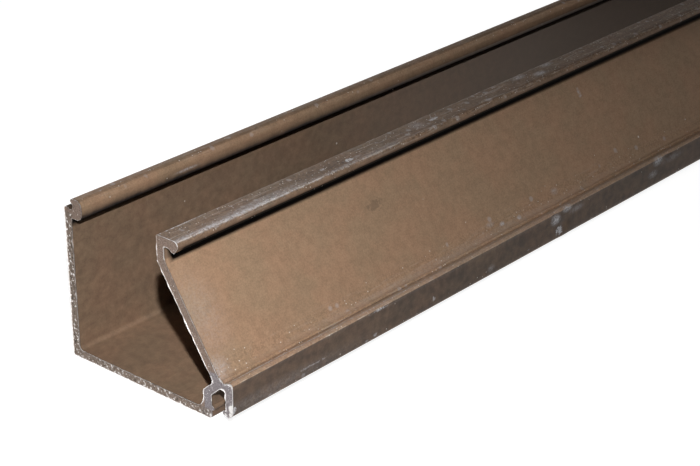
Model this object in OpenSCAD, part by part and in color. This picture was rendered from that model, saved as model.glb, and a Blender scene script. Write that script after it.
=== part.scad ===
// Glazing stop: one straight aluminium extrusion with a back wall, a base leaf,
// an inclined front wall, two snap hooks along the top and a gasket race at the
// front foot. It lies on its base leaf, with its length along X.

/* [Stock] */
// Cut length of the bar
stock_l = 914.4; // [300:0.1:3658]

/* [Section] */
// Width over all, from the back wall's outer face to the race's front face
section_w = 38.1; // [34:0.1:60]
// Height over all, from the base leaf's underside to the back hook's top
section_h = 29.8; // [25:0.1:45]
// Thickness of the base leaf
leaf_t = 1.4; // [1:0.01:1.8]
// Thickness of the other walls
wall_t = 1.57; // [1.35:0.01:2.2]
// Rounding of the bottom edge under the back wall
heel_r = 0.4; // [0.1:0.05:0.9]
// Rounding of the wall's and the head's top edges
rim_r = 0.25; // [0.1:0.05:0.5]
// Fillet between the back wall and the base leaf
inner_r = 0.8; // [0.3:0.1:3]

/* [Back hook] */
// Thickness of the rounded bead that stands inside the back wall
bead_d = 2.6; // [2:0.1:3.2]
// Height of the bead's straight middle
bead_mid = 1.0; // [0.4:0.1:2]
// Rise of the bead's top over the top of the back wall
bead_rise = 1.8; // [1.5:0.1:2.1]
// Radius of the bead's beak, which points back over the wall
beak_r = 0.44; // [0.3:0.02:0.6]
// Radius of the groove between the wall's top and the bead
groove_r = 0.7; // [0.5:0.05:0.9]
// Depth of that groove below the wall's top
groove_depth = 0.25; // [0.1:0.05:0.5]
// Reach of that groove under the beak
groove_undercut = 0.5; // [0.2:0.05:0.6]

/* [Front hook] */
// Distance from the back wall's outer face to the head's outer face
head_set = 22.0; // [18:0.1:26]
// Height of the upright head, down to the bend
head_h = 4.65; // [3.6:0.05:7]
// Drop of the front hook's top below the back hook's top
ledge_drop = 0.3; // [0:0.05:1]
// Thickness of the ledge on the head
ledge_t = 1.6; // [1.1:0.05:1.9]
// Reach of the ledge from the head's outer face
ledge_reach = 4.85; // [4.2:0.05:6.5]
// Radius of the toe that hangs under the ledge's end
toe_r = 0.6; // [0.4:0.05:0.7]
// Setback of the toe from the ledge's rounded end
toe_back = 0.35; // [0.2:0.05:1]
// Fall of the toe's centre below the middle of the ledge
toe_fall = 0.8; // [0.5:0.05:1.4]
// Slope of the lead-in on the toe's inner side
toe_slope = 33; // [25:1:55]
// Fillet in the corner of the head under the ledge
ledge_r = 0.25; // [0.1:0.05:0.4]
// Outer radius of the bend below the head
bend_outer_r = 1; // [0.4:0.1:3]
// Inner radius of the bend below the head
bend_inner_r = 3; // [1:0.1:4]

/* [Gasket race] */
// Clear width of the race
race_w = 3.25; // [2.6:0.05:4.5]
// Height of the race's crown above the base leaf's underside
race_h = 6.45; // [5.4:0.05:8]
// Radius of the race's crown
crown_r = 0.75; // [0.4:0.05:1.2]
// Slope of the race's roof down to its root leg
roof_slope = 41.5; // [30:0.5:50]
// Thickness of that roof
roof_t = 1.42; // [1.1:0.02:1.8]
// Thickness of the race's root leg on the base leaf
root_t = 1.75; // [1.3:0.05:2.4]
// Distance from the root leg's inner face to the neck under the inclined wall
neck_in = 0.6; // [0.2:0.05:0.9]
// Metal above the race's crown at the crease
web_t = 1.0; // [0.8:0.05:1.6]
// Distance from the race's front face back to the crease
crease_set = 2.05; // [1.8:0.05:2.4]
// Slope of the shoulder from the crease to the front edge
shoulder_slope = 21.5; // [5:0.5:30]
// Rounding of the shoulder's front edge
shoulder_r = 0.57; // [0.2:0.01:0.9]
// Height of the inclined wall's foot over the crease
foot_rise = 0.4; // [0.15:0.05:0.8]
// Width of the slope from that foot into the crease
foot_run = 0.25; // [0.1:0.05:0.5]
// Clearance between the front leg's foot and the floor
leg_lift = 1.6; // [0.5:0.05:2.6]
// Rounding of the front leg's outer foot
leg_r = 1.3; // [0.4:0.05:1.3]
// Reach of the front leg's lip into the race's mouth
lip_reach = 0.77; // [0.5:0.01:1]
// Thickness of that lip
lip_t = 0.82; // [0.6:0.02:1]
// Height of the lip's underside over the leg's foot
lip_lift = 0.15; // [0.05:0.05:0.5]
// Radius of the small ridge on the root leg, across from the lip
ridge_r = 0.44; // [0.2:0.02:0.6]
// Height of the ridge's centre over the front leg's foot
ridge_lift = 0.35; // [0.2:0.05:0.9]
// Rounding of the base leaf's front edge, under the race
leaf_end_r = 0.6; // [0.2:0.05:0.9]
// Fillet between the root leg and the base leaf
root_r = 2; // [0.4:0.1:2.8]
// Rounding of the root leg's outer shoulder
root_shoulder_r = 1; // [0.3:0.1:1.6]
// Fillet inside the race, where its roof meets the root leg
roof_r = 0.6; // [0.2:0.1:1]
// Fillet in the neck, between the race's roof and the inclined wall
neck_r = 0.6; // [0.2:0.05:1]
// Fillet between the inclined wall and its foot
foot_r = 2; // [0.8:0.1:2.4]

/* [Hidden] */
// Sides of a full circle
$fn = 96;
// Depth to which one shape runs into the next, so that they fuse
bite = 0.3;
// Depth to which an arc cuts past the straight face that it runs out on
kiss = 0.002;
up = 90;
down = 270;
back = 180;
front = 0;

// Outline points are [distance from the back wall's outer face, height]
function dir(a) = [cos(a), sin(a)];
function height_on(p, a, x) = p[1] + (x - p[0]) * tan(a);

// Back wall and its bead
wall_h = section_h - bead_rise;
bead_set = wall_t + bead_d / 2;
bead_top = [bead_set, section_h - bead_d / 2];
bead_low = bead_top - [0, bead_mid];
bead_foot = bead_low[1] - bead_d / 2;
beak = [wall_t + beak_r, section_h - beak_r];
groove = [wall_t + groove_undercut - groove_r, wall_h - groove_depth + groove_r];

// Gasket race
race_front = section_w - wall_t;
race_root = race_front - race_w;
root_set = race_root - root_t;
crown = [race_front - crown_r, race_h - crown_r];
crown_side = crown + (crown_r - kiss) * dir(up + roof_slope);
roof_low = [race_root, height_on(crown_side, roof_slope, race_root)];
roof_top = crown_side + roof_t * dir(up + roof_slope);
root_shoulder = [root_set, height_on(roof_top, roof_slope, root_set)];
neck = [race_root + neck_in, height_on(roof_top, roof_slope, race_root + neck_in)];
crease = [section_w - crease_set, race_h + web_t];
shoulder = [section_w, height_on(crease, shoulder_slope, section_w)];
foot_end = crease + [-foot_run, foot_rise];
lip = [race_front - lip_reach + lip_t / 2, leg_lift + lip_lift + lip_t / 2];
ridge = [race_root, leg_lift + ridge_lift];

// Head and ledge
ledge_h = section_h - ledge_drop;
head_in = head_set + wall_t;
bend = [head_set, ledge_h - head_h];
ledge_end = [head_set + ledge_reach - ledge_t / 2, ledge_h - ledge_t / 2];
toe = ledge_end - [toe_back, toe_fall];
toe_side = toe + (toe_r - kiss) * dir(down - toe_slope);
ledge_low = ledge_h - ledge_t;
ramp_run = (ledge_low + bite - toe_side[1]) / sin(toe_slope);
ramp = toe_side + ramp_run * dir(back - toe_slope);

// Inclined wall, from the bend down to the neck
lean = atan2(neck[1] - bend[1], neck[0] - bend[0]);
fall = dir(lean);
across = dir(lean + up);
front_bend = [head_in, height_on(bend + wall_t * across, lean, head_in)];
front_at_neck = neck + wall_t * across;
foot_corner = front_at_neck + fall * (foot_end[1] - front_at_neck[1]) / fall[1];
foot_fillet = min(foot_r, (foot_end[0] - foot_corner[0]) * tan((back + lean) / 2));

// Patch between two faces that leave corner p at angles a and b, rounded to
// radius r: it fills an inner corner, and it trims an outer corner when cut
module corner(p, a, b, r) {
    half = (b - a + 360) % 360 / 2;
    mid = dir(a + half);
    c = p + mid * r / sin(half);
    side = r / tan(half);
    difference() {
        polygon([c, p + side * dir(b), p - bite * mid, p + side * dir(a)]);
        translate(c) circle(r + kiss);
    }
}

// Bar with round ends: radius rp about p and radius rq about q
module bar(p, rp, q, rq) {
    run = q - p;
    a = atan2(run[1], run[0]);
    side = acos((rp - rq) / norm(run));
    polygon([
        p + (rp - kiss) * dir(a - side), q + (rq - kiss) * dir(a - side),
        q + (rq - kiss) * dir(a + side), p + (rp - kiss) * dir(a + side)
    ]);
    translate(p) circle(rp);
    translate(q) circle(rq);
}

module hook_groove() {
    translate(groove) circle(groove_r);
}

module back_wall() {
    difference() {
        square([wall_t, wall_h]);
        corner([0, 0], front, up, heel_r);
        corner([0, wall_h], down, front, rim_r);
        hook_groove();
    }
}

module base_leaf() {
    difference() {
        translate([heel_r, 0]) square([race_root - heel_r, leaf_t]);
        corner([race_root, 0], up, back, leaf_end_r);
    }
    corner([wall_t, leaf_t], front, up, inner_r);
    corner([root_set, leaf_t], up, back, root_r);
}

module back_hook() {
    difference() {
        union() {
            bar(bead_low, bead_d / 2, bead_top, bead_d / 2);
            bar(beak, beak_r, [bead_set, beak[1]], beak_r);
            translate([wall_t - bite, bead_foot])
                square([bead_d / 2 + bite, wall_h - bead_foot]);
        }
        hook_groove();
    }
}

module inclined_wall() {
    difference() {
        polygon([bend, neck, neck + bite * fall, foot_corner, front_bend]);
        corner(bend, lean, up, bend_outer_r);
    }
    corner(front_bend, lean, up, bend_inner_r);
}

module front_hook() {
    difference() {
        polygon([
            bend, front_bend, [head_in, ledge_low], [ledge_end[0], ledge_low],
            [ledge_end[0], ledge_h], [head_set, ledge_h]
        ]);
        corner(bend, lean, up, bend_outer_r);
        corner([head_set, ledge_h], down, front, rim_r);
    }
    bar(toe, toe_r, ledge_end, ledge_t / 2);
    polygon([toe, [ledge_end[0], ledge_low + bite], ramp, toe_side]);
    corner([head_in, ledge_low], down, front, ledge_r);
}

module race_hollow() {
    difference() {
        union() {
            polygon([
                [race_root, -bite], [race_front - kiss, -bite],
                [race_front - kiss, crown[1]], crown, crown_side, roof_low
            ]);
            translate(crown) circle(crown_r);
        }
        corner(roof_low, down, roof_slope, roof_r);
    }
}

module gasket_race() {
    difference() {
        polygon([
            [root_set, 0], [crown[0], 0], [crown[0], leg_lift], [section_w, leg_lift],
            shoulder, crease, foot_end, foot_corner, neck, root_shoulder
        ]);
        race_hollow();
        corner(root_shoulder, down, roof_slope, root_shoulder_r);
        corner(shoulder, back + shoulder_slope, down, shoulder_r);
        corner([section_w, leg_lift], up, back, leg_r);
        corner([race_root, 0], up, back, leaf_end_r);
    }
    corner(neck, back + lean, back + roof_slope, neck_r);
    corner(foot_corner, front, back + lean, foot_fillet);
    bar(lip, lip_t / 2, [race_front + bite, lip[1]], lip_t / 2);
    translate(ridge) circle(ridge_r);
}

module section() {
    back_wall();
    base_leaf();
    back_hook();
    inclined_wall();
    front_hook();
    gasket_race();
}

module glazing_stop() {
    color("#7a6350")
        translate([-stock_l / 2, section_w / 2, 0])
            rotate([90, 0, 90])
                linear_extrude(stock_l)
                    mirror([1, 0]) section();
}

glazing_stop();
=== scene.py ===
import math
import random
import bpy
from mathutils import Euler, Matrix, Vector, noise
from mathutils.geometry import delaunay_2d_cdt


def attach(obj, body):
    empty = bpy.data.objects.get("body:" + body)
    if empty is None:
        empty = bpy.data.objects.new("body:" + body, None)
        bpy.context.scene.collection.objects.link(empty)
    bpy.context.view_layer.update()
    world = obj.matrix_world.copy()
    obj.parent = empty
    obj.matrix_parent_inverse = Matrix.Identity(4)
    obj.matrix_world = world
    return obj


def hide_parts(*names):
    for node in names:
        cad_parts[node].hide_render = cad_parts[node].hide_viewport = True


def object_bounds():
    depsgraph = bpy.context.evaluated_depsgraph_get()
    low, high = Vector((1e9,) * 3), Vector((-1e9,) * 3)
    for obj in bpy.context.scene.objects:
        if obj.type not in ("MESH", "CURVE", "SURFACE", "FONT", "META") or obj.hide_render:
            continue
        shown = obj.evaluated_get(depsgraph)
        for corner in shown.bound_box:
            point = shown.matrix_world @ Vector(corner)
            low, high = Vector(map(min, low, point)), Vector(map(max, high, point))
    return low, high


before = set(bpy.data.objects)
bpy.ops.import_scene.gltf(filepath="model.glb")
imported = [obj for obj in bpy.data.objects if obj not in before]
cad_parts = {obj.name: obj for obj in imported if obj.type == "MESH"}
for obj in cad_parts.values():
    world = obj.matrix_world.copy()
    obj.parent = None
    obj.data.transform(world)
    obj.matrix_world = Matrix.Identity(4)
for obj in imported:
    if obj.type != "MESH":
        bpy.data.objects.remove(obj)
cadLow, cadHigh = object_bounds()
mm = 0.001
print("stage 1: frame loaded", [round(v, 4) for v in cadHigh - cadLow])


def clamp(value, low=0.0, high=1.0):
    return max(low, min(high, value))


# Section coordinates are (s, z): s runs from the back wall's outer face to the front
def sectionToWorld(x, s, z):
    return Vector((x, cadHigh.y - s, cadLow.z + z))


# No burr stands out over the sides of the CAD bar's box
def keepInBox(place):
    place.y = clamp(place.y, cadLow.y, cadHigh.y)
    place.z = clamp(place.z, cadLow.z, cadHigh.z)
    return place


# Camera

cameraView = {
    "fromCorner": (-190.3 * mm, -228.3 * mm, 160.05 * mm),  # from the back wall's near bottom corner
    "down": 25.04,  # degrees below the horizon
    "turn": 48.99,  # degrees from +Y towards +X
    "lens": 99.65,
    "sensor": 36.0,
    "clip": (0.01, 50.0),
}


def makeCamera():
    data = bpy.data.cameras.new("photoCamera")
    data.lens = cameraView["lens"]
    data.sensor_width = cameraView["sensor"]
    data.clip_start, data.clip_end = cameraView["clip"]
    camera = bpy.data.objects.new("photoCamera", data)
    bpy.context.collection.objects.link(camera)
    corner = Vector((cadLow.x + sawCut["burrReach"], cadHigh.y, cadLow.z))
    camera.location = corner + Vector(cameraView["fromCorner"])
    tilt = math.radians(90 - cameraView["down"])
    camera.rotation_euler = (tilt, 0, -math.radians(cameraView["turn"]))
    bpy.context.scene.camera = camera
    return camera


# Outline of the section, read from the near end of the CAD bar

outlineSteps = {
    "endGap": 1e-6,  # how near to the end's plane the corners of its faces lie
    "weld": 7,  # decimals of a metre that count as one point
    "flatStep": 0.9 * mm,  # longest piece of the outline on plain walls
    "fineStep": 0.4 * mm,  # the same on the hooks, the race and the outer faces that the saw tore
    "hooksOver": 24 * mm,  # height where the hooks start
    "racePast": 31 * mm,  # distance from the back where the race starts
    "outerSkin": 0.2 * mm,  # depth that belongs to the back and the underside
}


def readOutline(mesh, xEnd):
    openEdges = {}
    digits = outlineSteps["weld"]
    for face in mesh.polygons:
        corners = [mesh.vertices[i].co for i in face.vertices]
        if any(abs(c.x - xEnd) > outlineSteps["endGap"] for c in corners):
            continue
        keys = [(round(cadHigh.y - c.y, digits), round(c.z, digits)) for c in corners]
        for a, b in zip(keys, keys[1:] + keys[:1]):
            if (b, a) in openEdges:
                del openEdges[(b, a)]
            else:
                openEdges[(a, b)] = True
    following = dict(openEdges.keys())
    loop = [min(following)]
    while following[loop[-1]] != loop[0]:
        loop.append(following[loop[-1]])
    points = [Vector(p) for p in loop]
    area = sum(a.x * b.y - b.x * a.y for a, b in zip(points, points[1:] + points[:1]))
    return points if area > 0 else points[::-1]


def isDetailed(p):
    onHookOrRace = p.x > outlineSteps["racePast"] or p.y > outlineSteps["hooksOver"]
    return onHookOrRace or min(p.x, p.y) < outlineSteps["outerSkin"]


def refineOutline(points):
    fine = []
    for a, b in zip(points, points[1:] + points[:1]):
        step = outlineSteps["fineStep" if isDetailed((a + b) / 2) else "flatStep"]
        count = max(1, math.ceil((b - a).length / step))
        fine += [a.lerp(b, k / count) for k in range(count)]
    return fine


def outlineNormals(points):
    normals = []
    for k, p in enumerate(points):
        ahead = (points[(k + 1) % len(points)] - p).normalized()
        behind = (p - points[k - 1]).normalized()
        along = (ahead + behind).normalized()
        normals.append(Vector((along.y, -along.x)))
    return normals


# Sawn ends: a rough face with a ragged burr along its rim

sawCut = {
    "seed": 11,
    "burrReach": 0.26 * mm,  # furthest that a burr stands out of the cut
    "burrLeast": 0.2,  # share of that height on the rest of the rim
    "burrNoise": (900, 3600),  # slow and fast changes of the height, per metre
    "burrMix": (1.5, 0.35),  # weight of both together and of the fast one alone
    "burrGain": 1.5,
    "burrShift": 37,  # sets the two ends' burrs apart, in mm
    "burrRings": ((0.45, 0.35), (1.0, 1.0)),  # shares of the lean and the height, foot and crest
    "lean": 0.08 * mm,  # how far a burr hangs over the edge
    "rimDepth": 0.14 * mm,  # where the bar's own skin ends, behind the cut
    "rimWidth": 0.15 * mm,  # from the outline to the flat of the cut
    "bite": 0.3 * mm,  # how deep the torn parts of the rim are nibbled
    "biteNoise": (2900, 900),  # fast and slow changes of that depth, per metre
    "biteSlow": 0.3,  # weight of the slow one
    "biteShift": 53,
    "grid": 0.23 * mm,  # spacing of points on the face of the cut
    "scatter": (0.2, 0.8),  # where a point may lie in its cell of the grid
    "rimClear": 0.55,  # distance that it keeps from the rim, in cells
    "grooves": 0.03 * mm,  # depth of the blade's lines
    "grooveSpacing": 0.55 * mm,
    "grooveWobble": 0.35,  # in spacings
    "wobbleNoise": 400,
    "bladeCentre": (70 * mm, 95 * mm),
    "roughness": 0.035 * mm,  # depth of the torn metal on the face
    "tornNoise": 2600,
    "ringRows": 3,  # rings of points between the skin and the flat of the cut
    "rimShine": (0.15, 1.3),  # brightness of the rim, and what a full burr adds to it
}

# Burrs along the rim. A place is a point of the section, or a line between two, and how far
# it reaches, all in mm
burrPlaces = {
    # bright flaps of metal smeared over the cut
    "flaps": [
        {"at": (37.8, 3.35), "reach": 0.75, "share": 1.0},  # the front leg
        {"at": (37.55, 2.2), "reach": 0.45, "share": 1.0},
        {"at": (36.4, 1.9), "reach": 0.3, "share": 0.7},
        {"at": (33.0, 0.5), "reach": 0.4, "share": 0.7},  # the end of the base
        {"at": (37.5, 7.85), "reach": 0.4, "share": 0.9},  # the shoulder
        {"at": (36.9, 7.75), "reach": 0.3, "share": 0.85},
        {"at": (36.5, 7.6), "reach": 0.25, "share": 0.8},
        {"at": (35.6, 8.05), "reach": 0.5, "share": 0.9},
    ],
    # places where the burr curls far out over the skin, with the share in mm
    "curls": [
        {"at": (35.4, 7.95), "reach": 0.5, "share": 0.42},
    ],
    # height of the burr along stretches of the rim, as a share of burrReach
    "stretches": [
        {"from": (23.2, 23.4), "to": (33.6, 7.4), "reach": 0.5, "share": 0.6},  # the inclined wall
        {"from": (24.0, 24.2), "to": (34.6, 8.6), "reach": 0.4, "share": 0.25},
        {"from": (33.8, 7.3), "to": (31.8, 5.2), "reach": 0.7, "share": 0.85},  # the root
        {"from": (31.8, 5.2), "to": (31.3, 2.2), "reach": 0.6, "share": 0.7},
        {"from": (34.0, 4.0), "to": (36.2, 6.3), "reach": 1.1, "share": 1.1},  # the race
        {"from": (36.5, 6.0), "to": (36.6, 2.8), "reach": 0.4, "share": 0.5},
        {"from": (35.1, 8.0), "to": (35.9, 7.85), "reach": 0.4, "share": 2.6},  # beside the crease
        {"from": (36.3, 7.5), "to": (38.1, 7.9), "reach": 0.6, "share": 2.0},  # the shoulder
        {"from": (38.1, 7.6), "to": (37.6, 1.8), "reach": 0.5, "share": 0.6},  # the front leg
        {"from": (38.1, 3.9), "to": (37.5, 1.7), "reach": 0.6, "share": 2.4},
        {"from": (0.0, 1.0), "to": (0.0, 28.0), "reach": 0.4, "share": 1.1},  # the back wall
        {"from": (1.6, 2.0), "to": (1.6, 26.0), "reach": 0.4, "share": 0.35},
        {"from": (0.4, 0.0), "to": (32.8, 0.0), "reach": 0.4, "share": 0.7},  # the base
        {"from": (2.4, 1.4), "to": (30.0, 1.4), "reach": 0.4, "share": 0.35},
        {"from": (0.5, 29.0), "to": (4.0, 28.0), "reach": 1.6, "share": 0.3},  # the back hook
        {"from": (22.5, 28.8), "to": (26.5, 28.5), "reach": 1.4, "share": 0.35},  # the front hook
        {"from": (22.0, 25.0), "to": (22.0, 29.2), "reach": 0.4, "share": 0.35},
        {"from": (23.57, 26.0), "to": (23.57, 27.8), "reach": 0.3, "share": 0.8},
        {"from": (26.2, 29.4), "to": (26.6, 29.2), "reach": 0.45, "share": 1.8},  # its nose
    ],
}

# Parts of a cut: two corners of a box around them, in mm
cutPlaces = {
    # left clean and grey by the blade
    "clean": [
        {"from": (31.6, 1.6), "to": (38.2, 8.6), "share": 1.0},  # the root, the race and the leg
        {"from": (31.0, -0.1), "to": (38.2, 1.6), "share": 0.6},
    ],
    "torn": [
        {"from": (-0.1, 0.0), "to": (1.7, 27.0), "share": 1.0},  # the back wall
        {"from": (1.7, -0.1), "to": (33.0, 1.5), "share": 0.75},  # the base
        {"from": (33.0, -0.1), "to": (38.2, 8.2), "share": 0.15},
    ],
}

# How suddenly a round mask ends
maskEdges = {"soft": 2, "firm": 6, "hard": 10}


def placeMask(p, places, edge):
    value = 0.0
    for place in places:
        gap = (p / mm - Vector(place["at"])).length / place["reach"]
        value = max(value, place["share"] * math.exp(-(gap ** maskEdges[edge])))
    return value


def boxMask(p, places):
    value = 0.0
    for place in places:
        low, high = place["from"], place["to"]
        if low[0] <= p.x / mm <= high[0] and low[1] <= p.y / mm <= high[1]:
            value = max(value, place["share"])
    return value


def distanceToLine(p, a, b):
    along = b - a
    share = clamp((p - a).dot(along) / along.length_squared)
    return (p - a - along * share).length


def burrShare(p):
    best = sawCut["burrLeast"]
    for place in burrPlaces["stretches"]:
        a = Vector(place["from"]) * mm
        b = Vector(place["to"]) * mm
        if distanceToLine(p, a, b) < place["reach"] * mm:
            best = max(best, place["share"])
    return best


def burrHeights(points, seed):
    slowScale, fastScale = sawCut["burrNoise"]
    both, alone = sawCut["burrMix"]
    heights = []
    for p in points:
        spot = Vector((p.x, p.y, seed * mm * sawCut["burrShift"]))
        slow = 0.5 + 0.5 * noise.noise(spot * slowScale)
        fast = 0.5 + 0.5 * noise.noise(spot * fastScale)
        ragged = both * slow * fast + alone * fast
        heights.append(clamp(burrShare(p) * ragged * sawCut["burrGain"]))
    return heights


def biteDepths(points, seed):
    fastScale, slowScale = sawCut["biteNoise"]
    depths = []
    for p in points:
        spot = Vector((p.y, p.x, seed * mm * sawCut["biteShift"]))
        rough = noise.noise(spot * fastScale) + sawCut["biteSlow"] * noise.noise(spot * slowScale)
        depths.append(sawCut["bite"] * boxMask(p, cutPlaces["torn"]) * clamp(rough))
    return depths


# Depth of the blade's arcs and of the torn metal at a point of the cut
def sawRelief(s, z, seed):
    centre = Vector(sawCut["bladeCentre"])
    arc = (Vector((s, z)) - centre).length
    wobble = noise.noise(Vector((s, z, seed)) * sawCut["wobbleNoise"]) * sawCut["grooveWobble"]
    lines = math.sin(2 * math.pi * (arc / sawCut["grooveSpacing"] + wobble))
    torn = noise.noise(Vector((s, z, seed * mm)) * sawCut["tornNoise"])
    return lines * sawCut["grooves"] / 2 + torn * sawCut["roughness"]


# One end of the bar: rings over the foot and the crest of the burr, and one on the cut's rim
def endRings(points, normals, xEnd, inward, seed):
    heights = burrHeights(points, seed)
    bites = biteDepths(points, seed)
    reach = sawCut["burrReach"]
    rings = []
    for out, up in sawCut["burrRings"]:
        ring = []
        for p, n, height, bite in zip(points, normals, heights, bites):
            lean = sawCut["lean"] + placeMask(p, burrPlaces["curls"], "soft") * mm
            q = p + n * (lean * out * height - bite)
            x = xEnd + inward * reach * (1 - up * height)
            ring.append(keepInBox(sectionToWorld(x, q.x, q.y)))
        rings.append(ring)
    rim = []
    for p, n, bite in zip(points, normals, bites):
        q = p - n * (sawCut["rimWidth"] + bite)
        x = xEnd + inward * (reach + sawRelief(q.x, q.y, seed))
        rim.append(keepInBox(sectionToWorld(x, q.x, q.y)))
    return rings + [rim], heights


def insideOutline(q, points):
    inside = False
    for a, b in zip(points, points[1:] + points[:1]):
        if (a.y > q.y) != (b.y > q.y) and q.x < a.x + (q.y - a.y) / (b.y - a.y) * (b.x - a.x):
            inside = not inside
    return inside


def clearOfRim(q, cells, step):
    column, row = int(q.x / step), int(q.y / step)
    for i in (-1, 0, 1):
        for j in (-1, 0, 1):
            for p in cells.get((column + i, row + j), ()):
                if (p - q).length < step * sawCut["rimClear"]:
                    return False
    return True


# Triangles over the flat of the cut: the rim's own points and a loose grid inside it. A place
# is the number of a rim point, or a new point
def cutFace(rim, xEnd, inward, seed):
    flat = [Vector((cadHigh.y - p.y, p.z)) for p in rim]
    dice = random.Random(seed)
    low = Vector((min(p.x for p in flat), min(p.y for p in flat)))
    high = Vector((max(p.x for p in flat), max(p.y for p in flat)))
    step = sawCut["grid"]
    cells = {}
    for p in flat:
        cells.setdefault((int(p.x / step), int(p.y / step)), []).append(p)
    loose = []
    for i in range(int((high.x - low.x) / step) + 1):
        for j in range(int((high.y - low.y) / step) + 1):
            across, up = dice.uniform(*sawCut["scatter"]), dice.uniform(*sawCut["scatter"])
            q = low + Vector((i + across, j + up)) * step
            if insideOutline(q, flat) and clearOfRim(q, cells, step):
                loose.append(q)
    keepInside, weld = 1, 1e-9
    made = delaunay_2d_cdt(flat + loose, [], [list(range(len(flat)))], keepInside, weld)
    spots, faces, sources = made[0], made[2], made[3]
    places = []
    for p, source in zip(spots, sources):
        onRim = [k for k in source if k < len(flat)]
        x = xEnd + inward * (sawCut["burrReach"] + sawRelief(p.x, p.y, seed))
        places.append(onRim[0] if onRim else sectionToWorld(x, p.x, p.y))
    return places, faces


# Dings along the bar: x from the near end, then a point of the section, in mm

dings = [
    {"x": 88.0, "at": (38.0, 7.5), "long": 1.2, "wide": 0.9, "deep": 0.3},
    {"x": 91.3, "at": (38.1, 4.4), "long": 1.3, "wide": 1.2, "deep": 0.35},
    {"x": 95.4, "at": (37.4, 8.0), "long": 1.8, "wide": 0.9, "deep": 0.25},
    {"x": 127.0, "at": (38.0, 7.3), "long": 1.4, "wide": 0.9, "deep": 0.35},
    {"x": 412.0, "at": (22.1, 29.4), "long": 1.8, "wide": 0.9, "deep": 0.3},
    {"x": 655.0, "at": (38.0, 7.6), "long": 2.2, "wide": 1.0, "deep": 0.4},
]
dingShape = {
    "felt": 4,  # how far along the bar a ding is felt, in its lengths
    "lip": 0.25,  # height of the lip raised around it, as a share of its depth
    "lipAt": 1.7,  # where the lip is highest, in lengths
    "lipSharp": 3,
}

# Rows of points along the bar, in mm
rowSteps = {
    "nearCut": (0.5, 1.6, 2.8, 5.0, 9.0),  # in from where the skin starts
    "plain": 60,
    "ding": 0.45,
    "dingRows": 7,  # on each side of a ding's middle
    "least": 0.2,
}


def dingDepth(x, p):
    depth = 0.0
    for ding in dings:
        away = (x - cadLow.x) / mm - ding["x"]
        if abs(away) > dingShape["felt"] * ding["long"]:
            continue
        gap = (p / mm - Vector(ding["at"])).length
        spread = math.hypot(away / ding["long"], gap / ding["wide"])
        hollow = math.exp(-spread * spread)
        lip = dingShape["lip"] * math.exp(-((spread - dingShape["lipAt"]) ** 2) * dingShape["lipSharp"])
        depth += ding["deep"] * mm * (hollow - lip)
    return depth


def rowPlaces():
    start = cadLow.x + sawCut["burrReach"] + sawCut["rimDepth"]
    stop = cadHigh.x - sawCut["burrReach"] - sawCut["rimDepth"]
    rows = {start, stop}
    for near in rowSteps["nearCut"]:
        rows |= {start + near * mm, stop - near * mm}
    spacing = rowSteps["plain"] * mm
    rows |= {start + k * spacing for k in range(1, int((stop - start) / spacing))}
    for ding in dings:
        centre = cadLow.x + ding["x"] * mm
        side = rowSteps["dingRows"]
        rows |= {centre + k * rowSteps["ding"] * mm for k in range(-side, side + 1)}
    kept = []
    for x in sorted(rows):
        if not kept or x - kept[-1] > rowSteps["least"] * mm:
            kept.append(x)
    return kept


def skinRow(x, outline, normals):
    row = []
    for p, n in zip(outline, normals):
        q = p - n * dingDepth(x, p)
        row.append(keepInBox(sectionToWorld(x, q.x, q.y)))
    return row


def skinFaces(rowCount, count):
    faces = []
    for r in range(rowCount - 1):
        for k in range(count):
            a, b = r * count + k, r * count + (k + 1) % count
            faces.append((a, a + count, b + count, b))
    return faces


# Adds the flat of one cut, whose rim starts at the point numbered first
def closeEnd(places, faces, rim, first, xEnd, inward, seed):
    spots, triangles = cutFace(rim, xEnd, inward, seed)
    index = []
    for spot in spots:
        if isinstance(spot, int):
            index.append(first + spot)
        else:
            index.append(len(places))
            places.append(spot)
    for triangle in triangles:
        corners = [index[k] for k in triangle]
        faces.append(tuple(corners if inward > 0 else corners[::-1]))


def buildBar():
    sharpAngle = math.radians(28)
    outline = refineOutline(readOutline(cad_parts["glazing_stop"].data, cadLow.x))
    normals = outlineNormals(outline)
    nearSeed, farSeed = sawCut["seed"], sawCut["seed"] + 1
    near, nearHeights = endRings(outline, normals, cadLow.x, 1, nearSeed)
    far, farHeights = endRings(outline, normals, cadHigh.x, -1, farSeed)
    rows = near[::-1] + [skinRow(x, outline, normals) for x in rowPlaces()] + far
    places = [p for row in rows for p in row]
    faces = skinFaces(len(rows), len(outline))
    lastRow = (len(rows) - 1) * len(outline)
    closeEnd(places, faces, rows[0], 0, cadLow.x, 1, nearSeed)
    closeEnd(places, faces, rows[-1], lastRow, cadHigh.x, -1, farSeed)
    mesh = bpy.data.meshes.new("glazingStopBar")
    mesh.from_pydata(places, [], faces)
    mesh.validate()
    paintBar(mesh, outline, len(rows), nearHeights, farHeights)
    mesh.shade_smooth()
    mesh.set_sharp_from_angle(angle=sharpAngle)
    bar = bpy.data.objects.new("glazingStopBar", mesh)
    bpy.context.collection.objects.link(bar)
    print("stage 3: bar built,", len(rows), "rows of", len(outline), "points,", len(faces), "faces")
    return bar


# Masks on the bar's points, which its finish reads. A place is a point of the section and how
# far it reaches, or two corners of a box, all in mm

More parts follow.
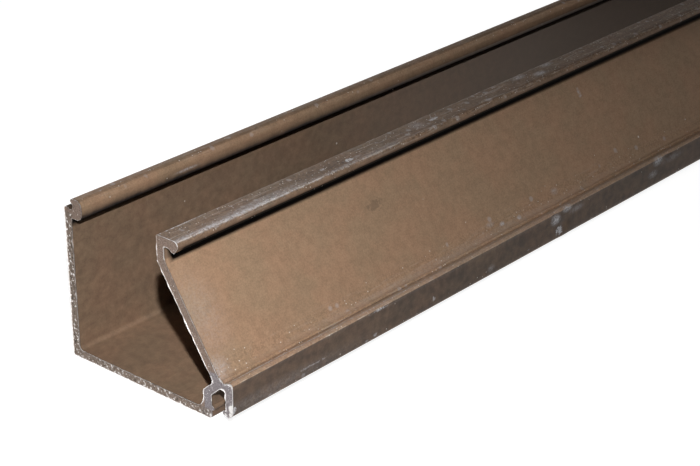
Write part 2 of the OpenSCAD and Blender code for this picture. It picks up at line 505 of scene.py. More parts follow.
skinPlaces = {
    "wearAndHighlight": [
        # the nose's wear also paints a highlight along its edge
        {"at": (26.55, 29.3), "reach": 0.5, "share": 1.0},  # the front hook's nose
        {"at": (25.2, 29.5), "reach": 1.5, "share": 0.7},  # its top
        {"at": (23.4, 29.5), "reach": 1.3, "share": 0.8},
        {"at": (22.0, 29.4), "reach": 0.35, "share": 0.8},  # its back edge
        {"at": (3.2, 29.8), "reach": 1.2, "share": 0.35},  # the back hook's top
        {"at": (37.7, 8.0), "reach": 0.6, "share": 0.5},  # the shoulder's edge
        {"at": (36.05, 7.6), "reach": 0.5, "share": 0.5},  # the crease
        {"at": (34.6, 9.1), "reach": 1.5, "share": 0.32},  # the foot of the inclined wall
        {"at": (37.8, 2.0), "reach": 0.8, "share": 0.45},  # the front leg's foot
    ],
    # painted shade: near-black in the hollows and under overhangs that the light does not reach, under
    # the bead, in the back hook's groove, in the channel's far corner and in the race's arch
    "paintedShade": [
        {"at": (1.6, 26.1), "reach": 1.2, "share": 1.0},  # under the bead
        {"at": (3.3, 26.1), "reach": 0.95, "share": 0.95},
        {"at": (1.0, 28.2), "reach": 0.9, "share": 0.8},  # the groove of the back hook
        {"at": (32.4, 8.2), "reach": 0.9, "share": 0.6},  # the channel's far corner
        {"at": (35.0, 5.6), "reach": 1.95, "share": 1.0},  # the arch of the race
    ],
    # painted shadow under the front hook's nose and on the wall below it; it starts a little way in
    # from each cut, where the hollow is lit
    "hookShadow": [
        {"at": (24.2, 27.4), "reach": 1.5, "share": 1.0},  # under the front hook
        {"at": (23.57, 25.8), "reach": 0.95, "share": 1.0},
        {"at": (26.2, 27.4), "reach": 0.95, "share": 1.0},
    ],
    # painted shade that thins out over the face around it, where the bead's lower side turns from the
    # light
    "beadUnderShade": [
        {"at": (4.1, 26.8), "reach": 1.0, "share": 0.95},  # the bead's lower side
    ],
    # faces that hold a film of dirt, darker still as painted shade where they get less light
    "soilAndShade": [
        {"from": (1.0, 1.0), "to": (22.5, 27.5), "share": 0.44},  # the channel
        {"from": (22.5, 1.0), "to": (32.5, 8.0), "share": 0.44},
        {"from": (32.9, 0.0), "to": (36.9, 6.9), "share": 0.6},  # the race
        {"from": (37.9, 1.0), "to": (38.2, 7.6), "share": 0.77},  # the front leg
        {"from": (21.9, 29.2), "to": (26.3, 29.6), "share": 0.56},  # the front hook's top
        {"from": (26.3, 27.2), "to": (26.9, 29.6), "share": 0.5},  # its nose
        {"from": (23.4, 25.7), "to": (23.9, 27.9), "share": 0.5},  # under it
        {"from": (0.0, 27.6), "to": (3.6, 29.9), "share": 0.36},  # the bead
        {"from": (3.6, 27.6), "to": (4.4, 29.9), "share": 0.06},
    ],
    # pale dust, also a painted sheen on the channel's faces further in from the near end
    "dustAndSheen": [
        {"from": (1.0, 1.0), "to": (22.5, 27.5), "share": 0.65},  # the channel
    ],
}

# Distance from the nearer end where a mask starts, and where it is full
maskSpans = {
    "hookShadow": (1.0 * mm, 1.8 * mm),
    "dustAndSheen": (55 * mm, 130 * mm),
}


def spanShare(x, name):
    start, full = maskSpans[name]
    inside = min(x - cadLow.x, cadHigh.x - x)
    return clamp((inside - start) / (full - start))


def paintBar(mesh, outline, rowCount, nearHeights, farHeights):
    wearAndHighlight = [placeMask(p, skinPlaces["wearAndHighlight"], "soft") for p in outline]
    paintedShade = [placeMask(p, skinPlaces["paintedShade"], "hard") for p in outline]
    hookShadow = [placeMask(p, skinPlaces["hookShadow"], "hard") for p in outline]
    darkening = [boxMask(p, skinPlaces["soilAndShade"]) for p in outline]
    beadUnderShade = [placeMask(p, skinPlaces["beadUnderShade"], "soft") for p in outline]
    dustAndSheen = [boxMask(p, skinPlaces["dustAndSheen"]) for p in outline]
    shineLeast, shineGain = sawCut["rimShine"]
    names = ("wearAndHighlight", "paintedShade", "soilAndShade", "dustAndSheen", "bare", "burr", "torn", "clean")
    values = {name: [0.0] * len(mesh.vertices) for name in names}
    for v, vertex in enumerate(mesh.vertices):
        row, k = divmod(v, len(outline))
        fromCut = min(row, rowCount - 1 - row)  # 0 on the cut's rim, and below 0 on its flat
        if fromCut >= 0:
            x = vertex.co.x
            values["wearAndHighlight"][v] = wearAndHighlight[k]
            # painted shade, and the painted shadow under the front hook from a little way in from each
            # cut
            values["paintedShade"][v] = max(paintedShade[k], hookShadow[k] * spanShare(x, "hookShadow"))
            values["soilAndShade"][v] = max(darkening[k], beadUnderShade[k])
            values["dustAndSheen"][v] = dustAndSheen[k] * spanShare(x, "dustAndSheen")
        if fromCut >= sawCut["ringRows"]:
            continue
        if fromCut > 0:
            p = outline[k]
            heights = nearHeights if row < sawCut["ringRows"] else farHeights
            burr = min(1.0, shineLeast + shineGain * heights[k])
        else:
            p = Vector((cadHigh.y - vertex.co.y, vertex.co.z - cadLow.z))
            burr = placeMask(p, burrPlaces["flaps"], "firm")
        values["bare"][v] = 1.0
        values["burr"][v] = burr
        values["torn"][v] = boxMask(p, cutPlaces["torn"])
        values["clean"][v] = boxMask(p, cutPlaces["clean"])
    for name, numbers in values.items():
        mask = mesh.attributes.new(name, "FLOAT", "POINT")
        mask.data.foreach_set("value", numbers)


# Small helpers for materials

def linear(red, green, blue):
    def part(value):
        v = value / 255
        return v / 12.92 if v <= 0.04045 else ((v + 0.055) / 1.055) ** 2.4
    return (part(red), part(green), part(blue), 1.0)


def put(socket, value):
    if isinstance(value, bpy.types.NodeSocket):
        socket.id_data.links.new(value, socket)
    else:
        socket.default_value = value


def calc(tree, operation, a, b=0.0, clamped=False):
    node = tree.nodes.new("ShaderNodeMath")
    node.operation = operation
    node.use_clamp = clamped
    put(node.inputs[0], a)
    put(node.inputs[1], b)
    return node.outputs[0]


def times(tree, a, b, clamped=False):
    return calc(tree, "MULTIPLY", a, b, clamped)


def larger(tree, a, b):
    return calc(tree, "MAXIMUM", a, b)


def ramp(tree, value, low, high, start=0.0, end=1.0):
    node = tree.nodes.new("ShaderNodeMapRange")
    node.interpolation_type = "SMOOTHSTEP"
    put(node.inputs["Value"], value)
    put(node.inputs["From Min"], low)
    put(node.inputs["From Max"], high)
    put(node.inputs["To Min"], start)
    put(node.inputs["To Max"], end)
    return node.outputs["Result"]


def blendColour(tree, share, a, b, mode="MIX"):
    node = tree.nodes.new("ShaderNodeMix")
    node.data_type = "RGBA"
    node.blend_type = mode
    node.clamp_factor = True
    put(node.inputs[0], share)
    put(node.inputs[6], a)
    put(node.inputs[7], b)
    return node.outputs[2]


# A colour with a share of a tone laid over it
def coat(tree, under, share, tone):
    return blendColour(tree, share, under, linear(*tone))


def blendValue(tree, share, a, b):
    node = tree.nodes.new("ShaderNodeMix")
    node.data_type = "FLOAT"
    put(node.inputs[0], share)
    put(node.inputs[2], a)
    put(node.inputs[3], b)
    return node.outputs[0]


def stretch(tree, coordinates, scale, shift=(0.0, 0.0, 0.0)):
    node = tree.nodes.new("ShaderNodeMapping")
    put(node.inputs["Vector"], coordinates)
    node.inputs["Location"].default_value = shift
    node.inputs["Scale"].default_value = scale
    return node.outputs["Vector"]


def lengthOf(tree, vector):
    node = tree.nodes.new("ShaderNodeVectorMath")
    node.operation = "LENGTH"
    put(node.inputs[0], vector)
    return node.outputs["Value"]


# Noise from a texture's settings, drawn out along the bar where they say so
def noiseOf(tree, here, texture):
    if "along" in texture:
        here = stretch(tree, here, (texture["along"], 1, 1), texture.get("shift", (0, 0, 0)))
    node = tree.nodes.new("ShaderNodeTexNoise")
    put(node.inputs["Vector"], here)
    for name in ("Scale", "Detail", "Roughness"):
        node.inputs[name].default_value = texture[name.lower()]
    return node.outputs["Fac"]


def maskOf(tree, name):
    node = tree.nodes.new("ShaderNodeAttribute")
    node.attribute_name = name
    return node.outputs["Fac"]


# Scattered specks: round dots in some of the cells of a Voronoi pattern, fewer where a mask is low
def specksOf(tree, here, specks, mask=None):
    cells = tree.nodes.new("ShaderNodeTexVoronoi")
    put(cells.inputs["Vector"], here)
    cells.inputs["Scale"].default_value = specks["perMetre"]
    dot = ramp(tree, cells.outputs["Distance"], specks["size"], specks["size"] / 2)
    parts = tree.nodes.new("ShaderNodeSeparateColor")
    put(parts.inputs[0], cells.outputs["Color"])
    share = times(tree, mask, specks["share"]) if mask else specks["share"]
    return times(tree, dot, calc(tree, "LESS_THAN", parts.outputs[0], share))


# Rubbed lines along the bar, partly painted highlights on the edges they follow: a point of the section
# and half the line's width, in mm

rubAndHighlightLines = [
    {"at": (35.5, 8.1), "half": 0.14},  # beside the crease, both sides
    {"at": (36.95, 7.85), "half": 0.13},
    {"at": (22.05, 29.5), "half": 0.14},  # the front hook's back edge
    {"at": (38.05, 7.7), "half": 0.1},  # the shoulder's edge
    {"at": (26.45, 29.35), "half": 0.2},  # the front hook's nose
]
rubAndHighlightLook = {
    "dashes": {"along": 0.25, "shift": (0.7, 0, 0), "scale": 1900, "detail": 3.0, "roughness": 0.7},
    "ragged": (0.4, 0.72, 1.0, -0.4),  # the dashes' share, and how far it moves a line's edge
    "edge": (1.1, 0.5),  # where a line fades out, in half widths
    "weakest": 75 * mm,  # from here on it shows least, counted from the nearer end
    "strongest": 30 * mm,  # up to here it shows most
    "shares": (0.3, 0.85),
}


# Mask of the rubbed lines and painted highlights, broken into dashes and dots
def rubAndHighlightMask(tree, here):
    ragged = ramp(tree, noiseOf(tree, here, rubAndHighlightLook["dashes"]), *rubAndHighlightLook["ragged"])
    total = 0.0
    for line in rubAndHighlightLines:
        centre = sectionToWorld(0.0, line["at"][0] * mm, line["at"][1] * mm)
        scale = 1 / (line["half"] * mm)
        away = lengthOf(tree, stretch(tree, here, (0.0, scale, scale), [-c * scale for c in centre]))
        shown = ramp(tree, calc(tree, "ADD", away, ragged), *rubAndHighlightLook["edge"])
        total = larger(tree, total, shown)
    return total


# The rubbed lines and painted highlights are bright near both ends and fade further in
def nearEnds(tree, here):
    parts = tree.nodes.new("ShaderNodeSeparateXYZ")
    put(parts.inputs[0], here)
    fromMiddle = calc(tree, "ABSOLUTE", parts.outputs["X"])
    weakest, strongest = cadHigh.x - rubAndHighlightLook["weakest"], cadHigh.x - rubAndHighlightLook["strongest"]
    return ramp(tree, fromMiddle, weakest, strongest, *rubAndHighlightLook["shares"])


# Single marks: x from the near end, a point of the section, half the length and half the width, all in
# mm. Dark ones are below 0, and soft ones have no ragged edge. Some are painted highlights and painted
# shade along edges, marked below. With 62 of them the finish rendered black
marks = [
    # the front leg
    {"x": 0.4, "at": (38.1, 3.3), "size": (0.55, 0.75), "light": 1.0},
    {"x": 19.0, "at": (38.1, 3.8), "size": (3.2, 0.2), "light": 0.32},
    {"x": 8.0, "at": (38.1, 3.4), "size": (26.0, 1.5), "light": 0.08, "soft": True},
    {"x": 35.2, "at": (38.1, 3.0), "size": (0.5, 0.35), "light": 0.5},
    {"x": 51.4, "at": (38.1, 3.7), "size": (0.5, 0.4), "light": 0.5},
    {"x": 68.2, "at": (38.1, 3.6), "size": (1.2, 0.8), "light": 0.2, "soft": True},
    {"x": 88.4, "at": (38.1, 6.3), "size": (1.6, 1.1), "light": 0.8, "soft": True},
    {"x": 92.1, "at": (37.9, 7.5), "size": (1.8, 0.8), "light": 0.8, "soft": True},
    {"x": 89.8, "at": (38.1, 3.75), "size": (1.1, 1.0), "light": 0.95},
    {"x": 95.2, "at": (38.1, 6.5), "size": (2.6, 0.8), "light": 0.25, "soft": True},
    {"x": 123.8, "at": (38.0, 7.3), "size": (1.8, 1.1), "light": 0.85, "soft": True},
    {"x": 122.1, "at": (38.1, 4.8), "size": (1.8, 0.9), "light": 0.35, "soft": True},
    {"x": 129.0, "at": (38.1, 6.4), "size": (4.2, 0.9), "light": 0.18, "soft": True},
    # the shoulder and its edge
    {"x": 36.5, "at": (38.0, 7.4), "size": (2.6, 0.25), "light": 0.5},
    # these three are painted highlights along the rounded edge of the shoulder
    {"x": 8.0, "at": (36.9, 7.8), "size": (10.0, 0.24), "light": 0.8},
    {"x": 22.0, "at": (37.15, 7.88), "size": (12.0, 0.24), "light": 0.7},
    {"x": 38.0, "at": (37.4, 7.95), "size": (14.0, 0.28), "light": 0.35},
    # painted light that lifts the whole shoulder
    {"x": 70.0, "at": (37.2, 7.8), "size": (110.0, 1.1), "light": 0.2, "soft": True},
    {"x": 0.85, "at": (35.15, 8.4), "size": (0.6, 0.42), "light": 1.0},
    {"x": 300.0, "at": (38.0, 7.7), "size": (2.6, 0.5), "light": 0.8},
    {"x": 655.0, "at": (38.0, 7.6), "size": (2.2, 0.6), "light": 0.8},
    # the front hook
    # these four are painted highlights along the front hook's nose and the top behind it
    {"x": 14.0, "at": (26.2, 29.5), "size": (24.0, 0.6), "light": 0.55, "soft": True},
    {"x": 20.0, "at": (25.5, 29.5), "size": (14.0, 1.0), "light": 0.25, "soft": True},
    {"x": 44.0, "at": (26.3, 29.5), "size": (18.0, 0.5), "light": 0.25, "soft": True},
    {"x": 20.0, "at": (26.5, 29.4), "size": (26.0, 0.2), "light": 0.5},
    # painted highlight along the front hook's back edge
    {"x": 6.0, "at": (22.2, 29.5), "size": (5.4, 0.25), "light": 0.6},
    {"x": 15.9, "at": (23.4, 29.5), "size": (0.35, 0.3), "light": 0.7},
    {"x": 37.0, "at": (24.6, 29.5), "size": (0.6, 0.5), "light": 0.5},
    {"x": 43.2, "at": (25.2, 29.5), "size": (1.1, 0.55), "light": 0.85},
    {"x": 45.2, "at": (25.2, 29.5), "size": (1.5, 0.4), "light": 0.3, "soft": True},
    {"x": 63.3, "at": (24.0, 29.5), "size": (2.0, 1.7), "light": 0.25, "soft": True},
    {"x": 67.8, "at": (24.1, 29.5), "size": (1.1, 0.6), "light": 0.75},
    {"x": 82.2, "at": (25.8, 29.5), "size": (1.1, 0.6), "light": 0.45, "soft": True},
    {"x": 95.4, "at": (23.0, 29.5), "size": (2.2, 0.9), "light": 0.4, "soft": True},
    {"x": 99.9, "at": (24.7, 29.5), "size": (1.9, 0.9), "light": 0.6, "soft": True},
    {"x": 104.6, "at": (22.8, 29.5), "size": (2.0, 0.9), "light": 0.4, "soft": True},
    # the bead
    # painted highlight smeared along the bead
    {"x": 24.6, "at": (4.2, 27.9), "size": (3.2, 0.3), "light": 0.45, "soft": True},
    # the inclined wall and its foot
    {"x": 112.4, "at": (25.6, 22.2), "size": (0.5, 1.1), "light": 0.4},
    {"x": 47.8, "at": (27.1, 20.0), "size": (2.0, 1.1), "light": -0.3},
    {"x": 2.0, "at": (29.5, 16.6), "size": (6.0, 9.0), "light": 0.1, "soft": True},
    {"x": 0.8, "at": (34.3, 9.4), "size": (3.0, 2.6), "light": 0.3, "soft": True},
    {"x": 72.8, "at": (34.16, 9.57), "size": (1.3, 0.6), "light": 0.3, "soft": True},
    {"x": 76.0, "at": (34.65, 8.83), "size": (0.8, 0.5), "light": 0.6, "soft": True},
    {"x": 81.0, "at": (34.87, 8.49), "size": (0.8, 0.5), "light": 0.6, "soft": True},
    {"x": 93.2, "at": (34.15, 9.58), "size": (1.2, 0.8), "light": 0.3, "soft": True},
    {"x": 65.0, "at": (35.4, 8.4), "size": (66.0, 0.9), "light": 0.14, "soft": True},
    # painted shade in the crease at the foot of the inclined wall
    {"x": 30.0, "at": (36.1, 7.46), "size": (45.0, 0.22), "light": -0.55, "soft": True},
]
markLook = {
    "outline": {"scale": 1500, "detail": 3.0, "roughness": 0.7},
    "shift": (0.25, 0.75, -0.55, 0.55),  # how far that noise moves a ragged edge
    "raggedEdge": (1.15, 0.45),  # where a mark fades out, in half sizes
    "softEdge": (1.3, 0.0),
    "powder": {"scale": 2300, "detail": 4.0, "roughness": 0.8},
    "powdery": (0.38, 0.62, 0.35, 1.6),  # how uneven that noise makes the light marks
}


# Masks of the light and the dark marks
def markMasks(tree, here):
    shift = ramp(tree, noiseOf(tree, here, markLook["outline"]), *markLook["shift"])
    light, dark = 0.0, 0.0
    for mark in marks:
        centre = sectionToWorld(cadLow.x + mark["x"] * mm, mark["at"][0] * mm, mark["at"][1] * mm)
        long, wide = mark["size"]
        scale = (1 / (long * mm), 1 / (wide * mm), 1 / (wide * mm))
        away = lengthOf(tree, stretch(tree, here, scale, [-c * k for c, k in zip(centre, scale)]))
        if mark.get("soft"):
            spot = ramp(tree, away, *markLook["softEdge"])
        else:
            spot = ramp(tree, calc(tree, "ADD", away, shift), *markLook["raggedEdge"])
        if mark["light"] < 0:
            dark = larger(tree, dark, times(tree, spot, -mark["light"]))
        else:
            light = larger(tree, light, times(tree, spot, mark["light"]))
    powder = ramp(tree, noiseOf(tree, here, markLook["powder"]), *markLook["powdery"])
    return times(tree, light, powder, True), dark


# The bronze finish and the sawn metal. A noise's scale is per metre, and a range says which
# stretch of the noise turns into which stretch of the effect

anodised = {
    "tone": (155, 126, 102),
    "toneShare": 0.6,  # over the warm and the cool tone, which drift into each other
    "warmTone": (161, 128, 102),
    "coolTone": (147, 126, 101),
    "wornAndHighlightTone": (204, 198, 190),
    "speckTone": (222, 216, 208),
    "dustAndSheenTone": (151, 140, 132),
    "soilAndShadeTone": (47, 43, 43),
    "chipTone": (190, 189, 192),
    # near-black of the painted shade
    "paintedShadeTone": (5, 4, 4),
    "metallic": 0.28,
    "dullMetallic": 0.05,
    "specular": 0.12,
    "roughnessRange": (0.2, 0.8, 0.47, 0.58),
    "paintedShadeRoughness": 0.95,
    "bumpDepth": 0.02 * mm,
}
skinLook = {
    "drift": {"scale": 130, "detail": 3.0, "roughness": 0.6},
    "driftRange": (0.35, 0.65),
    "mottle": {"scale": 620, "detail": 3.0, "roughness": 0.6},
    "mottleRange": (0.25, 0.75, 0.915, 1.085),
    "grain": {"scale": 3400, "detail": 2.0, "roughness": 0.6},
    "grainRange": (0.25, 0.75, -0.11, 0.11),
    "grainHeight": 0.5,
    "dieLines": {"along": 0.012, "scale": 2200, "detail": 3.0, "roughness": 0.6},
    "dieLinesRange": (0.3, 0.7, -0.018, 0.018),
    "dieLinesHeight": 0.5,
    "grit": {"scale": 2400, "detail": 3.0, "roughness": 0.75},
    "gritRange": (0.35, 0.65, -0.4, 0.4),  # on the worn parts
    "smears": {"along": 0.3, "shift": (5, 2, 1), "scale": 320, "detail": 3.0, "roughness": 0.6},
    "smearsRange": (0.25, 0.75, 0.92, 1.08),  # in the film of dirt and painted shade
    "darkeningRange": (0.25, 0.75, 1.08, 0.92),  # the mottling shows through it
}
wearLook = {
    "streaks": {"along": 0.06, "shift": (0.3, 0, 0), "scale": 3000, "detail": 3.0, "roughness": 0.65},
    "streaksRange": (0.5, 0.66),
    "patches": {"along": 0.5, "scale": 150, "detail": 3.0, "roughness": 0.5},
    "patchesRange": (0.38, 0.6, 0.15, 1.0),
    "chips": {"perMetre": 1900, "size": 0.26, "share": 0.45},
    "specks": {"perMetre": 420, "size": 0.12, "share": 0.03},
    "spots": {"perMetre": 620, "size": 0.42, "share": 0.32},
    "spotsLight": 0.28,
    "paintedShadeShare": 0.99,
    "wornAndHighlightShare": 0.35,
    "rubAndHighlightShare": 0.55,
    "speckShare": 0.7,
}
sawn = {
    "tone": (143, 124, 112),
    "darkTone": (106, 90, 81),
    "cleanTone": (144, 137, 140),
    "cleanDarkTone": (113, 105, 107),
    "tornTone": (125, 112, 101),
    "tornShare": 0.7,
    "burrTone": (240, 236, 234),
    "pitTone": (52, 46, 40),
    "pitShare": 0.75,
    "roughness": 0.45,
    "grain": {"scale": 4200, "detail": 3.0, "roughness": 0.65},
    "grainRange": (0.3, 0.62),
    "grainHeight": 5.0,
    "flakes": {"scale": 1700, "detail": 2.0, "roughness": 0.6},
    "pitRange": (0.44, 0.36),
    "shineRange": (0.58, 0.64),
    "flakesHeight": 4.0,
    "paintedGlints": {"perMetre": 3000, "size": 0.3, "share": 0.08},
    "burrRange": (0.1, 0.8),
}


# The anodised skin: soft mottling, fine grain and faint die lines along the bar, under dirt that also
# holds painted shade, and pale dust that also holds a painted sheen
def skinColour(tree, here, grain, dieLines, wearAndHighlight, soilAndShade):
    drift = noiseOf(tree, here, skinLook["drift"])
    mottle = noiseOf(tree, here, skinLook["mottle"])
    cool, warm = linear(*anodised["coolTone"]), linear(*anodised["warmTone"])
    skin = blendColour(tree, ramp(tree, drift, *skinLook["driftRange"]), cool, warm)
    skin = coat(tree, skin, anodised["toneShare"], anodised["tone"])
    shade = ramp(tree, mottle, *skinLook["mottleRange"])
    shade = calc(tree, "ADD", shade, ramp(tree, grain, *skinLook["grainRange"]))
    shade = calc(tree, "ADD", shade, ramp(tree, dieLines, *skinLook["dieLinesRange"]))
    grit = ramp(tree, noiseOf(tree, here, skinLook["grit"]), *skinLook["gritRange"])
    shade = calc(tree, "ADD", shade, times(tree, grit, wearAndHighlight))
    skin = blendColour(tree, 1.0, skin, shade, "MULTIPLY")
    smears = noiseOf(tree, here, skinLook["smears"])
    # the film of dirt, darker where it also stands for painted shade
    darkening = times(tree, soilAndShade, ramp(tree, smears, *skinLook["smearsRange"]))
    darkening = times(tree, darkening, ramp(tree, mottle, *skinLook["darkeningRange"]), True)
    skin = coat(tree, skin, darkening, anodised["soilAndShadeTone"])
    # pale dust with a painted sheen
    return coat(tree, skin, maskOf(tree, "dustAndSheen"), anodised["dustAndSheenTone"])


# Painted shade, marks and wear over the skin: streaks that run along the bar, over a thin bright rub
# that is partly a painted highlight
def wearShadeAndHighlightColour(tree, here, skin, specks, wearAndHighlight, paintedShade):
    streaks = noiseOf(tree, here, wearLook["streaks"])
    patches = noiseOf(tree, here, wearLook["patches"])
    wornAndHighlight = ramp(tree, streaks, *wearLook["streaksRange"])
    wornAndHighlight = times(tree, wornAndHighlight, ramp(tree, patches, *wearLook["patchesRange"]))
    wornAndHighlight = times(tree, wornAndHighlight, wearAndHighlight, True)
    rubAndHighlight = times(tree, rubAndHighlightMask(tree, here), nearEnds(tree, here))
    light, dark = markMasks(tree, here)
    spots = times(tree, specksOf(tree, here, wearLook["spots"], wearAndHighlight), wearLook["spotsLight"])
    light = larger(tree, light, spots)
    # painted shade over the hollows
    skin = coat(tree, skin, times(tree, paintedShade, wearLook["paintedShadeShare"]), anodised["paintedShadeTone"])
    skin = coat(tree, skin, dark, anodised["soilAndShadeTone"])
    skin = coat(tree, skin, times(tree, wornAndHighlight, wearLook["wornAndHighlightShare"]), anodised["wornAndHighlightTone"])
    # rubbed lines with painted highlights
    skin = coat(tree, skin, times(tree, rubAndHighlight, wearLook["rubAndHighlightShare"]), anodised["wornAndHighlightTone"])
    skin = coat(tree, skin, light, anodised["chipTone"])
    return coat(tree, skin, times(tree, specks, wearLook["speckShare"]), anodised["speckTone"])


# The sawn metal: fine grain, torn and pitted in places, with painted glints on its flakes and specks,
# and bright burrs
def sawnColour(tree, here, grain, flakes):
    gash, clean, burr = maskOf(tree, "torn"), maskOf(tree, "clean"), maskOf(tree, "burr")
    high = coat(tree, linear(*sawn["tone"]), clean, sawn["cleanTone"])
    low = coat(tree, linear(*sawn["darkTone"]), clean, sawn["cleanDarkTone"])
    metal = blendColour(tree, ramp(tree, grain, *sawn["grainRange"]), low, high)
    metal = coat(tree, metal, times(tree, gash, sawn["tornShare"]), sawn["tornTone"])
    pits = times(tree, ramp(tree, flakes, *sawn["pitRange"]), gash)
    metal = coat(tree, metal, times(tree, pits, sawn["pitShare"]), sawn["pitTone"])
    # painted glints: white on the torn flakes and on scattered specks of the cut
    shine = times(tree, ramp(tree, flakes, *sawn["shineRange"]), gash)
    paintedGlints = larger(tree, specksOf(tree, here, sawn["paintedGlints"]), shine)
    bright = larger(tree, ramp(tree, burr, *sawn["burrRange"]), paintedGlints)
    return coat(tree, metal, bright, sawn["burrTone"])


def makeBronze():
    material = bpy.data.materials.new("bronzeAnodised")
    material.use_nodes = True
    tree = material.node_tree
    shader = tree.nodes["Principled BSDF"]
    shader.inputs["Specular IOR Level"].default_value = anodised["specular"]
    here = tree.nodes.new("ShaderNodeTexCoord").outputs["Object"]
    wearAndHighlight, paintedShade = maskOf(tree, "wearAndHighlight"), maskOf(tree, "paintedShade")
    soilAndShade, bare = maskOf(tree, "soilAndShade"), maskOf(tree, "bare")
    grain = noiseOf(tree, here, skinLook["grain"])
    dieLines = noiseOf(tree, here, skinLook["dieLines"])
    sawnGrain = noiseOf(tree, here, sawn["grain"])
    flakes = noiseOf(tree, here, sawn["flakes"])
    chips = specksOf(tree, here, wearLook["chips"], wearAndHighlight)
    specks = larger(tree, specksOf(tree, here, wearLook["specks"]), chips)

    skin = skinColour(tree, here, grain, dieLines, wearAndHighlight, soilAndShade)
    skin = wearShadeAndHighlightColour(tree, here, skin, specks, wearAndHighlight, paintedShade)
    metal = sawnColour(tree, here, sawnGrain, flakes)
    put(shader.inputs["Base Color"], blendColour(tree, bare, skin, metal))
    dull = larger(tree, larger(tree, specks, paintedShade), soilAndShade)
    metallic = blendValue(tree, dull, anodised["metallic"], anodised["dullMetallic"])
    put(shader.inputs["Metallic"], metallic)
    rough = ramp(tree, grain, *anodised["roughnessRange"])
    rough = blendValue(tree, paintedShade, rough, anodised["paintedShadeRoughness"])
    put(shader.inputs["Roughness"], blendValue(tree, bare, rough, sawn["roughness"]))

    lines = times(tree, dieLines, skinLook["dieLinesHeight"])
    height = calc(tree, "ADD", times(tree, grain, skinLook["grainHeight"]), lines)
    torn = times(tree, sawnGrain, sawn["grainHeight"])
    jagged = calc(tree, "ADD", torn, times(tree, flakes, sawn["flakesHeight"]))
    bump = tree.nodes.new("ShaderNodeBump")
    bump.inputs["Strength"].default_value = 1.0
    bump.inputs["Distance"].default_value = anodised["bumpDepth"]
    put(bump.inputs["Height"], blendValue(tree, bare, height, jagged))
    put(shader.inputs["Normal"], bump.outputs["Normal"])
    return material


# Studio: pale floor, one small key beside the lens as in the photograph, soft light from above

studio = {
    "key": {"size": (8 * mm, 8 * mm), "power": 0.102, "spread": 46},
    "keyOver": 65 * mm,  # height of the key over the lens
    "keyAim": (0.0, 26 * mm, 14 * mm),  # x from the near end, then s and z
    "top": {"size": (0.5, 0.25), "power": 1.8, "spread": 100, "place": (0.29, -0.15, 0.45)},
    "back": {"size": (1.0, 0.2), "power": 3.2, "spread": 180, "place": (0.0, 0.8, 0.14)},
    "worldLevel": 0.028,
    "backdropTop": (0.3, 0.18),  # the backdrop's white fades out between these heights of a ray
    "floorSize": 24.0,
    "floorTone": (150, 150, 149),
    "floorRoughness": 0.9,
    "floorGlow": 0.92,  # under the bar, where its shadow shows; the floor further away is white
    "floorDim": (0.85, 0.42),  # half length and half width of that part
    "floorEdge": (0.5, 1.0),  # where it turns white, in those halves
    "floorDrop": 0.02 * mm,
}


def addArea(name, place, target, lamp):
    data = bpy.data.lights.new(name, "AREA")
    data.shape = "RECTANGLE"
    data.size, data.size_y = lamp["size"]
    data.energy = lamp["power"]
    data.spread = math.radians(lamp["spread"])
    light = bpy.data.objects.new(name, data)
    bpy.context.collection.objects.link(light)
    light.visible_camera = False
    light.location = place
    light.rotation_euler = (target - place).to_track_quat("-Z", "Y").to_euler()


def makeLights(camera):
    up = Euler(camera.rotation_euler).to_matrix() @ Vector((0, 1, 0))
    place = camera.location + up * studio["keyOver"]
    along, s, z = studio["keyAim"]
    addArea("keyLamp", place, sectionToWorld(cadLow.x + along, s, z), studio["key"])
    middle = (cadLow + cadHigh) / 2
    for name in ("top", "back"):
        place = Vector(studio[name]["place"])
        addArea(name + "Lamp", place, Vector((place.x, middle.y, middle.z)), studio[name])


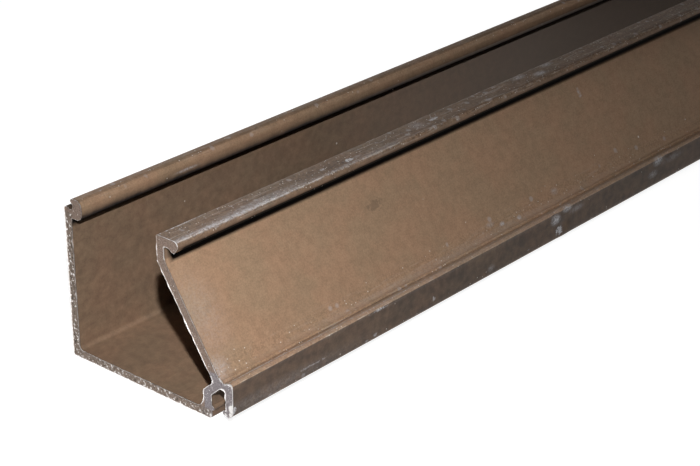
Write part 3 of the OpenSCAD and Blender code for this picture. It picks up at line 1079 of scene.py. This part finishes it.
# How far the ray belongs to what the camera or a reflection sees
def seenShare(tree):
    path = tree.nodes.new("ShaderNodeLightPath")
    share = calc(tree, "ADD", path.outputs["Is Camera Ray"], path.outputs["Is Glossy Ray"])
    return calc(tree, "ADD", share, path.outputs["Is Transmission Ray"], True)


def makeFloor():
    half = studio["floorSize"] / 2
    z = cadLow.z - studio["floorDrop"]
    corners = [(-half, -half, z), (half, -half, z), (half, half, z), (-half, half, z)]
    mesh = bpy.data.meshes.new("studioFloor")
    mesh.from_pydata(corners, [], [(0, 1, 2, 3)])
    floor = bpy.data.objects.new("studioFloor", mesh)
    bpy.context.collection.objects.link(floor)
    material = bpy.data.materials.new("paleFloor")
    material.use_nodes = True
    tree = material.node_tree
    shader = tree.nodes["Principled BSDF"]
    shader.inputs["Base Color"].default_value = linear(*studio["floorTone"])
    shader.inputs["Roughness"].default_value = studio["floorRoughness"]
    shader.inputs["Specular IOR Level"].default_value = 0.0
    shader.inputs["Emission Color"].default_value = (1.0, 1.0, 1.0, 1.0)
    here = tree.nodes.new("ShaderNodeTexCoord").outputs["Object"]
    long, wide = studio["floorDim"]
    away = lengthOf(tree, stretch(tree, here, (1 / long, 1 / wide, 0.0)))
    glow = ramp(tree, away, *studio["floorEdge"], studio["floorGlow"], 1.0)
    put(shader.inputs["Emission Strength"], times(tree, seenShare(tree), glow))
    floor.data.materials.append(material)


def makeWorld():
    world = bpy.data.worlds.new("studioWorld")
    bpy.context.scene.world = world
    world.use_nodes = True
    tree = world.node_tree
    background = tree.nodes["Background"]
    background.inputs["Color"].default_value = (1.0, 1.0, 1.0, 1.0)
    parts = tree.nodes.new("ShaderNodeSeparateXYZ")
    put(parts.inputs[0], tree.nodes.new("ShaderNodeTexCoord").outputs["Generated"])
    low = ramp(tree, parts.outputs["Z"], *studio["backdropTop"])
    share = times(tree, seenShare(tree), low)
    put(background.inputs["Strength"], blendValue(tree, share, studio["worldLevel"], 1.0))


camera = makeCamera()
makeLights(camera)
makeFloor()
makeWorld()
bpy.context.scene.view_settings.view_transform = "Standard"
print("stage 2: camera, lights and floor made")

bar = buildBar()
bar.data.materials.append(makeBronze())
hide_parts("glazing_stop")
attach(bar, "root")
print("stage 4: finish made")
